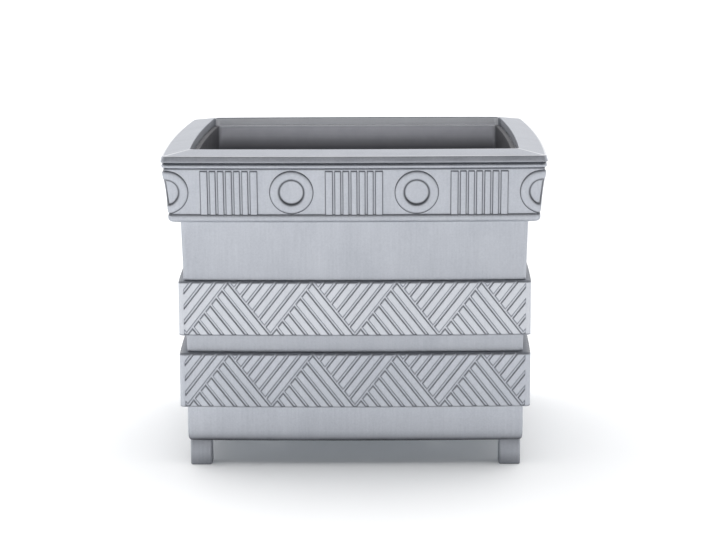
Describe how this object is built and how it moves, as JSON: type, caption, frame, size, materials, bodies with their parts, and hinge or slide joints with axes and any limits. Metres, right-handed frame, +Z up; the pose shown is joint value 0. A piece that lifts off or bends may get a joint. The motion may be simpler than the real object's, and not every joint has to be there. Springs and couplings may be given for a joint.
{
  "type": "versailles planter",
  "caption": "Square cast planter box with a moulded rim, a fluted frieze with roundels, raised bands of slanting bars, short square feet and a lift-out liner.",
  "frame": {"origin": "on the floor, under the centre of the planter", "axes": "+Z up; -Y out of the side that the picture shows; +X to the right in that view"},
  "size_m": [0.616, 0.616, 0.507],
  "materials": {
    "cast_aluminium": "as cast, satin",
    "liner_sheet": "mill sheet, dull",
    "fastener_steel": "zinc plated"
  },
  "bodies": {
    "planter": {"rim_front": "cast_aluminium", "rim_right": "cast_aluminium", "rim_back": "cast_aluminium", "rim_left": "cast_aluminium", "collar_wall_front": "cast_aluminium", "collar_wall_right": "cast_aluminium", "collar_wall_back": "cast_aluminium", "collar_wall_left": "cast_aluminium", "upper_band_front": "cast_aluminium", "upper_band_right": "cast_aluminium", "upper_band_back": "cast_aluminium", "upper_band_left": "cast_aluminium", "base_band_front": "cast_aluminium", "base_band_right": "cast_aluminium", "base_band_back": "cast_aluminium", "base_band_left": "cast_aluminium", "floor_plate": "cast_aluminium", "foot_front_left": "cast_aluminium", "foot_front_right": "cast_aluminium", "foot_back_left": "cast_aluminium", "foot_back_right": "cast_aluminium", "corner_bolts": "fastener_steel", "corner_nuts": "fastener_steel", "tier_bolts": "fastener_steel", "tier_nuts": "fastener_steel", "floor_screws": "fastener_steel", "foot_screws": "fastener_steel"},
    "liner": {"liner": "liner_sheet"}
  },
  "joints": [
    {"name": "liner_lift", "type": "slide", "parent": "planter", "child": "liner", "axis": [0, 0, 1], "range_m": [0, 0.46]}
  ]
}
